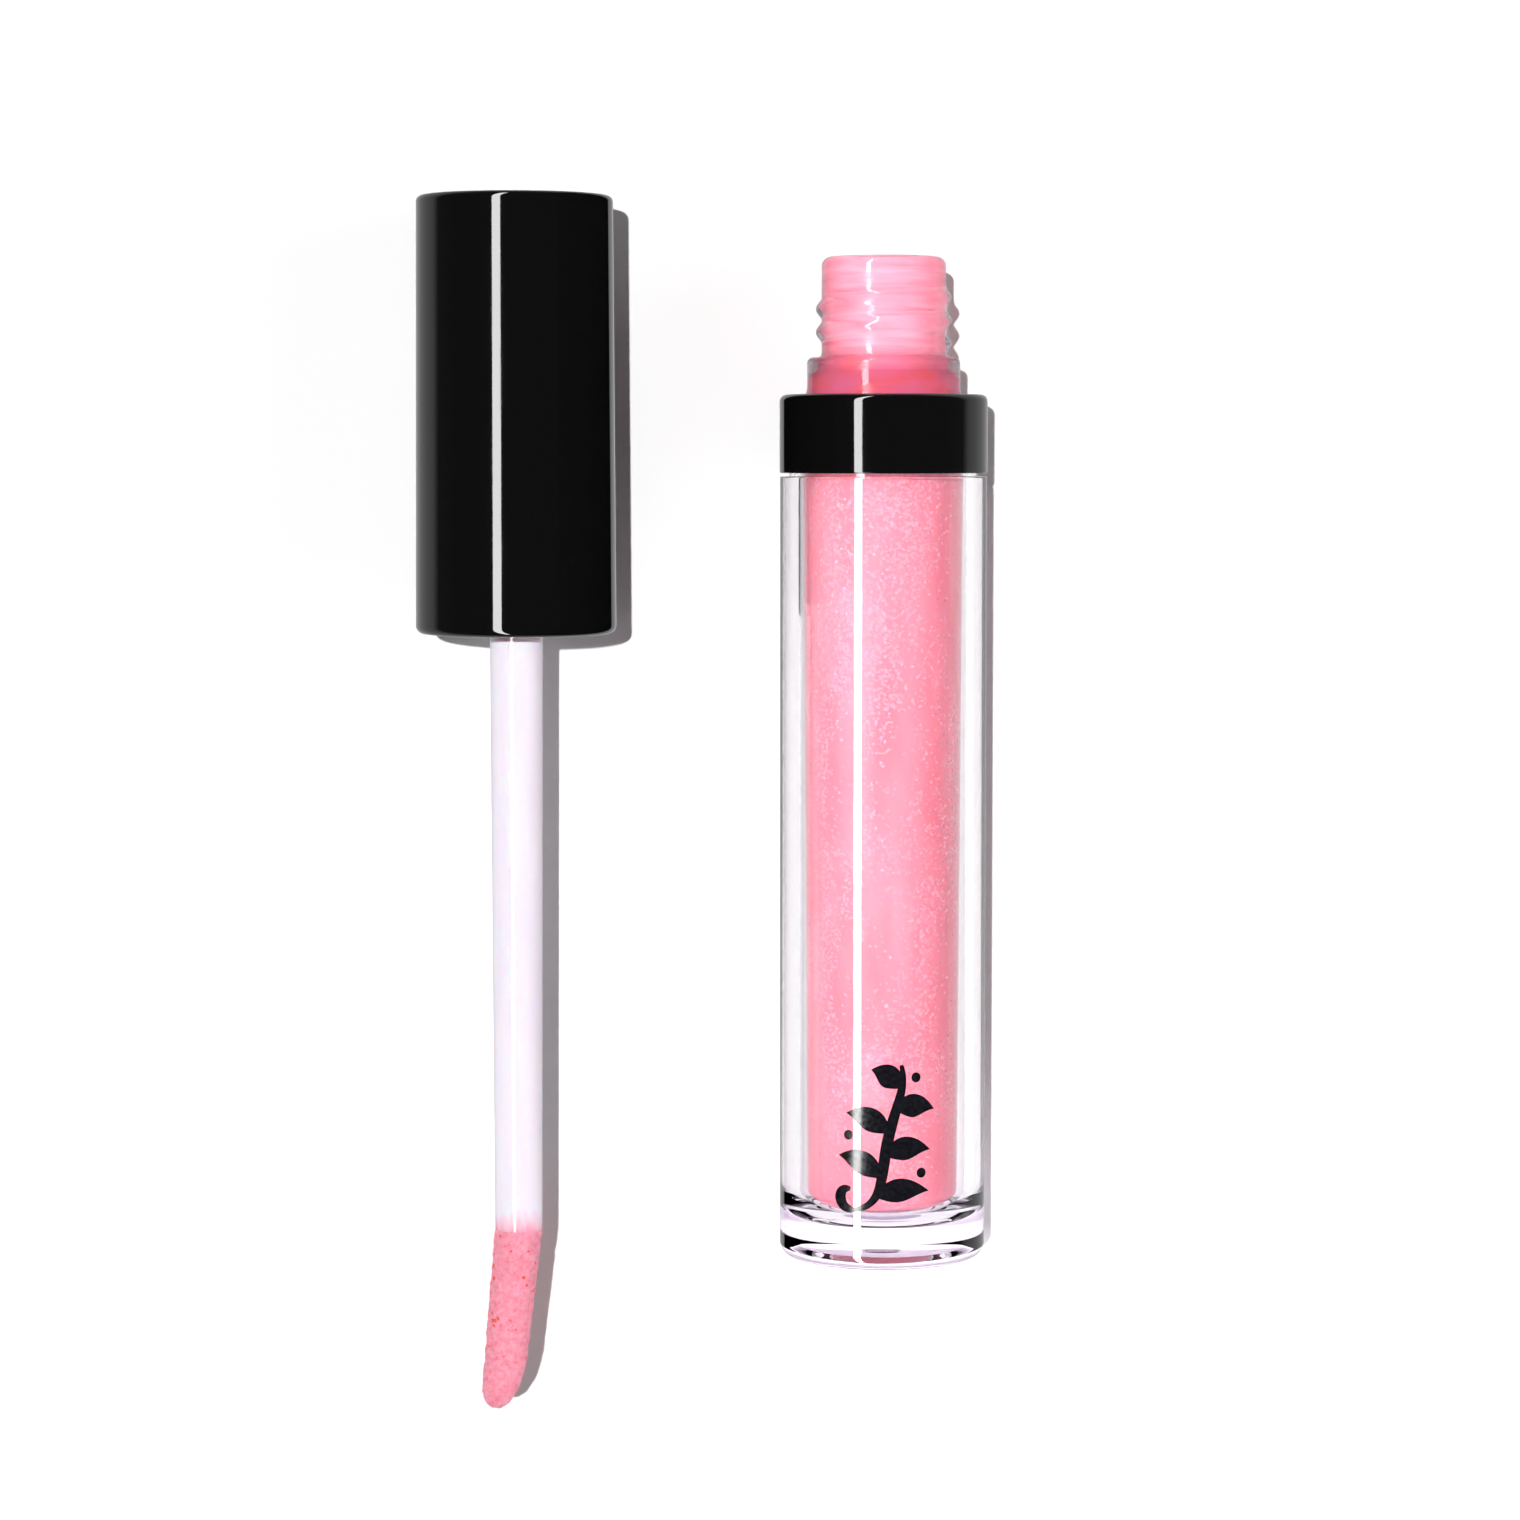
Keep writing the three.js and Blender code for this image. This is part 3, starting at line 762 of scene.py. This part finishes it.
def make_cap(material):
    """Tall black cap, narrowing a little towards its crown."""
    wall, rim_edge_r, crown_edge_r = 1.3, 0.7, 0.55
    crown_r = CAP_R - 0.2
    bore_r = CAP_R - wall
    ceiling = CAP_HEIGHT - wall
    outline = [(0, ceiling)]
    outline += arc(crown_r - wall - 0.3, ceiling - 0.3, 0.3, 90, 0, 5)
    outline += [(bore_r, 0.2), (bore_r + 0.05, 0.05), (bore_r + 0.15, 0)]
    outline += arc(CAP_R - rim_edge_r, rim_edge_r, rim_edge_r, -90, 0, 14)
    side_margin = 1.0
    outline += line((CAP_R, side_margin), (crown_r, CAP_HEIGHT - side_margin), 12)
    outline += arc(crown_r - crown_edge_r, CAP_HEIGHT - crown_edge_r, crown_edge_r, 0, 90, 12)
    outline += [(0, CAP_HEIGHT)]
    cap = lathe("cap", outline, CAP_RIM)
    return finish_piece(cap, "applicator", "black_plastic", material, "cap_shell")


def make_liner(material):
    """The cap's inner part: the female thread below, and the hub that holds the wand."""
    bore_r = NECK_R + THREAD_HEIGHT + GAP
    skirt_bore_r, hub_r = 6.1, 3.9
    web_bottom = WASHER_TOP + GAP
    web_top = web_bottom + 2.0
    hub_top = STEM_TOP + 0.5
    hub_bore_r = STEM_R + GAP
    lead_in = 0.25
    outline = [(bore_r + lead_in, LINER_BOTTOM), (LINER_R - CHAMFER, LINER_BOTTOM)]
    outline += [(LINER_R, LINER_BOTTOM + CHAMFER), (LINER_R, LINER_TOP)]
    outline += [(skirt_bore_r, LINER_TOP), (skirt_bore_r, web_top), (hub_r, web_top)]
    outline += [(hub_r, hub_top), (hub_bore_r, hub_top), (hub_bore_r, web_bottom)]
    outline += [(bore_r, web_bottom)]
    outline += line((bore_r, web_bottom - 0.2), (bore_r, LINER_BOTTOM + lead_in), 72)
    outline += outline[:1]
    top = THREAD_TOP - THREAD_PITCH / 2 - SEATED_RIM

    def threaded(radius, height, angle):
        if abs(radius - bore_r) > 0.01:
            return radius
        return radius - THREAD_HEIGHT * thread_rise(height, angle, top, 1)

    liner = lathe("cap_insert", outline, CAP_RIM, radius_at=threaded)
    return finish_piece(liner, "applicator", "natural_plastic", material, "cap_liner")


def make_washer(material):
    """Foam disc in the liner, which seals on the neck's rim."""
    inner_r = STEM_R + GAP
    corners = [
        (inner_r, WASHER_BOTTOM),
        (WASHER_R, WASHER_BOTTOM),
        (WASHER_R, WASHER_TOP),
        (inner_r, WASHER_TOP),
    ]
    washer = lathe("cap_washer", softened(corners, 0.2), CAP_RIM, SMALL_SIDES)
    return finish_piece(washer, "cap_seal", "foam", material, "seal_washer")


def make_wand(material):
    """The wand: slightly tapered, with a socket for the tip in its lower end."""
    socket_r, socket_depth = 1.0, 5.0
    outline = [(0, STEM_END + socket_depth), (socket_r, STEM_END + socket_depth)]
    outline += [(socket_r, STEM_END)]
    outline += arc(STEM_END_R - 0.08, STEM_END + 0.08, 0.08, -90, 0, 3)
    outline += line((STEM_END_R + 0.004, STEM_END + 1), (STEM_R, 0), 12)
    outline += [(STEM_R, STEM_TOP - 0.3), (STEM_R - 0.3, STEM_TOP), (0, STEM_TOP)]
    wand = lathe("wand", outline, CAP_RIM, SMALL_SIDES)
    return finish_piece(wand, "applicator", "stem_plastic", material, "wand_stem")


TIP_TOP = STEM_END + 0.3
TIP_BEND = 1.65
TIP_TOP_R = 2.08
TIP_END_R = 1.75
TIP_POINT_X = -1.9


def round_off(from_end, length):
    """How full a rounded end still is, from 0 at its end to 1 where the rounding starts."""
    short = max(0.0, 1 - from_end / length)
    return math.sqrt(1 - short * short)


def tip_point(share, angle):
    """A point on the smooth tip, in millimetres from the rim's centre. It slants on its +X side."""
    slant_length, heel_length, side_length = 4.5, 2.0, 3.0
    from_end = (1 - share) * (TIP_TOP - TIP_END)
    centre = -TIP_BEND * share
    radius = TIP_TOP_R + (TIP_END_R - TIP_TOP_R) * share
    left = TIP_POINT_X + (centre - radius - TIP_POINT_X) * round_off(from_end, heel_length)
    right = TIP_POINT_X + (centre + radius - TIP_POINT_X) * round_off(from_end, slant_length)
    half_z = radius * round_off(from_end, side_length)
    x = (left + right) / 2 + (right - left) / 2 * math.cos(angle)
    return Vector((x, TIP_TOP - share * (TIP_TOP - TIP_END), half_z * math.sin(angle)))


def tip_normal(share, angle):
    """The smooth tip's outward direction at a point."""
    step = 0.01
    along = tip_point(min(1, share + step), angle) - tip_point(max(0, share - step), angle)
    around = tip_point(share, angle + step) - tip_point(share, angle - step)
    return around.cross(along).normalized()


def nubby(point):
    """The height of the clumped flock over the smooth tip, in millimetres."""
    clumps = noise.noise(point * 1.5) * 0.10
    fibres = noise.noise(point * 4.5 + Vector((7, 3, 1))) * 0.07
    return clumps + fibres


def add_fibre(vertices, faces, root, out, length, width):
    """A short clump of fibres: a slim three-sided spike with its root sunk in the surface."""
    side = out.orthogonal().normalized()
    start = len(vertices)
    for k in range(3):
        angle = 2 * math.pi * k / 3
        ring = side * math.cos(angle) + out.cross(side) * math.sin(angle)
        vertices.append(CAP_RIM + (root - out * 0.05 + ring * width / 2) * MM)
    vertices.append(CAP_RIM + (root + out * length) * MM)
    faces.append((start, start + 1, start + 3))
    faces.append((start + 1, start + 2, start + 3))
    faces.append((start + 2, start, start + 3))
    faces.append((start + 2, start + 1, start))


def make_tip(material):
    """The flocked tip: a bent, slanted form, clumped all over, with short fibres out of it."""
    rows, sides = 170, 96
    last_share = 0.9992  # the last row stops just short of the point
    settle_rate = 18  # how fast the clumps grow from the stem
    fibre_count = 2600
    fibre_seed = 11
    fibre_lean = 0.55
    vertices = [CAP_RIM + Vector((0, TIP_TOP - 0.02, 0)) * MM]
    for row in range(rows):
        share = math.sin(math.pi / 2 * (row + 0.5) / rows) * last_share
        for side in range(sides):
            angle = 2 * math.pi * side / sides
            point = tip_point(share, angle)
            settle = min(1.0, share * settle_rate)
            point += tip_normal(share, angle) * nubby(point) * settle
            vertices.append(CAP_RIM + point * MM)
    end = len(vertices)
    vertices.append(CAP_RIM + tip_point(1.0, 0) * MM)
    faces = []
    for side in range(sides):
        after = (side + 1) % sides
        faces.append((0, 1 + side, 1 + after))
        for row in range(rows - 1):
            a = 1 + row * sides
            b = a + sides
            faces.append((a + side, b + side, b + after, a + after))
        last = 1 + (rows - 1) * sides
        faces.append((last + side, end, last + after))
    rng = random.Random(fibre_seed)
    for _ in range(fibre_count):
        share = rng.uniform(0.02, 0.985)
        angle = rng.uniform(0, 2 * math.pi)
        root = tip_point(share, angle)
        normal = tip_normal(share, angle)
        root += normal * nubby(root)
        lean = Vector((rng.uniform(-1, 1), rng.uniform(-1.6, 0.6), rng.uniform(-1, 1)))
        out = (normal + lean * fibre_lean).normalized()
        add_fibre(vertices, faces, root, out, rng.uniform(0.05, 0.2), rng.uniform(0.05, 0.1))
    tip = make_piece("flocked_tip", vertices, faces, math.radians(60))
    return finish_piece(tip, "applicator", "flock", material, "tip_flock")


# ---------------------------------------------------------------- stage, light and camera

def make_card(name, corners, material):
    """A flat four-cornered thing on the stage, which is no part of the object."""
    mesh = bpy.data.meshes.new(name)
    mesh.from_pydata(corners, [], [(0, 1, 2, 3)])
    mesh.materials.append(material)
    card = bpy.data.objects.new(name, mesh)
    bpy.context.scene.collection.objects.link(card)
    return card


def make_floor():
    """Pale paper, kept out of the pieces' gloss."""
    half = 4.0
    corners = [(-half, -half, 0), (half, -half, 0), (half, half, 0), (-half, half, 0)]
    paper, *_ = new_material(
        "floor_paper", Base_Color=(0.86, 0.86, 0.86, 1.0), Roughness=0.9, Specular_IOR_Level=0.1
    )
    floor = make_card("floor", corners, paper)
    floor.visible_glossy = False


def make_flag():
    """A black card standing between the two pieces, seen only in their gloss."""
    middle = (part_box("cap_shell")[1].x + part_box("collar")[0].x) / 2
    height, reach = 0.025, 0.08
    corners = [
        (middle, -reach, 0),
        (middle, reach, 0),
        (middle, reach, height),
        (middle, -reach, height),
    ]
    cloth, *_ = new_material(
        "flag_cloth", Base_Color=(0.003, 0.003, 0.003, 1.0), Roughness=1.0, Specular_IOR_Level=0.0
    )
    flag = make_card("flag", corners, cloth)
    flag.visible_camera = False
    flag.visible_diffuse = False
    flag.visible_transmission = False
    flag.visible_shadow = False


def make_world():
    """A dark room round a pale ground, which the gloss mirrors at its edges. Rays that come out
    of clear plastic see a pale lilac instead."""
    world = bpy.data.worlds.new("studio")
    bpy.context.scene.world = world
    world.use_nodes = True
    tree = world.node_tree
    place = add(tree, "ShaderNodeTexCoord")
    up = add(tree, "ShaderNodeSeparateXYZ", {0: place.outputs["Generated"]}).outputs[2]
    ground = between(tree, up, -0.12, -0.3)
    room = ramp(tree, up, (0.0, (0.05, 0.05, 0.052)), (0.3, (0.02, 0.02, 0.021)))
    level = mixed(tree, ground, room, (0.65, 0.65, 0.66, 1.0))
    through_glass = add(tree, "ShaderNodeLightPath").outputs["Is Transmission Ray"]
    level = mixed(tree, through_glass, level, (0.62, 0.52, 0.66, 1.0))
    tree.links.new(level, tree.nodes["Background"].inputs["Color"])


def aim(light, direction):
    """Turns a lamp to shine in a direction, with its local Y along the frame's Y."""
    back = -Vector(direction).normalized()
    side = Vector((0, 1, 0)).cross(back).normalized()
    turned = Matrix((side, back.cross(side), back)).transposed()
    light.rotation_mode = "QUATERNION"
    light.rotation_quaternion = turned.to_quaternion()


def make_sun(name, direction, strength, angle):
    """A lamp that lights surfaces without showing in their gloss."""
    lamp = bpy.data.lights.new(name, "SUN")
    lamp.energy = strength
    lamp.angle = math.radians(angle)
    sun = bpy.data.objects.new(name, lamp)
    bpy.context.scene.collection.objects.link(sun)
    aim(sun, direction)
    sun.visible_glossy = False
    sun.visible_transmission = False


def make_strip(name, place, width, length, radiance):
    """A long soft box along the pieces, which draws the bright line in their gloss."""
    lamp = bpy.data.lights.new(name, "AREA")
    lamp.shape = "RECTANGLE"
    lamp.size = width
    lamp.size_y = length
    lamp.energy = radiance * math.pi * width * length
    strip = bpy.data.objects.new(name, lamp)
    bpy.context.scene.collection.objects.link(strip)
    strip.location = place
    aim(strip, -Vector((place[0], 0, place[2])))
    lamp.cycles.max_bounces = 5  # more would wash out the gloss behind the clear walls
    strip.visible_camera = False
    strip.visible_diffuse = False
    strip.visible_transmission = False


def make_lights():
    """The suns, each with its light's direction, strength and angle in degrees, and the strip."""
    make_sun("key", (0.116, -0.110, -0.987), 3.3, 1.0)
    make_sun("fill_left", (0.93, 0.1, -0.36), 0.45, 50)
    make_sun("fill_right", (-0.93, 0.1, -0.36), 1.3, 50)
    make_sun("fill_front", (0.0, 0.75, -0.65), 0.15, 70)
    make_strip("strip", (-0.060, 0.0, 0.147), 0.024, 1.0, 22.0)


def make_camera():
    """Looks down on the two pieces, tilted a little, so that it sees the cap's rim from below."""
    tilt = math.radians(4.22)
    lens_per_width = 2.796
    side_step = -10.75 * MM
    level_height = 71.0 * MM
    distance = 0.371
    camera = bpy.data.cameras.new("camera")
    camera.sensor_width = 36
    camera.lens = camera.sensor_width * lens_per_width
    camera_object = bpy.data.objects.new("camera", camera)
    bpy.context.scene.collection.objects.link(camera_object)
    camera_object.location = TUBE_BASE + Vector((side_step, level_height, distance))
    camera_object.rotation_euler = (-tilt, 0, 0)
    bpy.context.scene.camera = camera_object
    bpy.context.scene.view_settings.view_transform = "Standard"


make_camera()
make_lights()
make_world()
make_floor()
make_flag()

black = black_gloss()
natural = natural_plastic()

make_shell(clear_plastic())
make_bottle(bottle_plastic())
collar = make_collar(black)
unmirrored = [
    collar,
    make_wiper(natural),
    make_gloss(pink_gloss()),
    make_neck_film(neck_gloss()),
    make_print(printed_ink()),
    make_cap(black),
    make_liner(natural),
    make_washer(foam()),
    make_wand(stem_plastic()),
    make_tip(wet_flock()),
]

# Only the clear pieces show in the others' gloss, and no clear piece shows the collar behind it.
for piece in unmirrored:
    piece.visible_glossy = False
collar.visible_transmission = False

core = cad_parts["tip_core"]
core.data.materials.clear()
core.data.materials.append(natural)
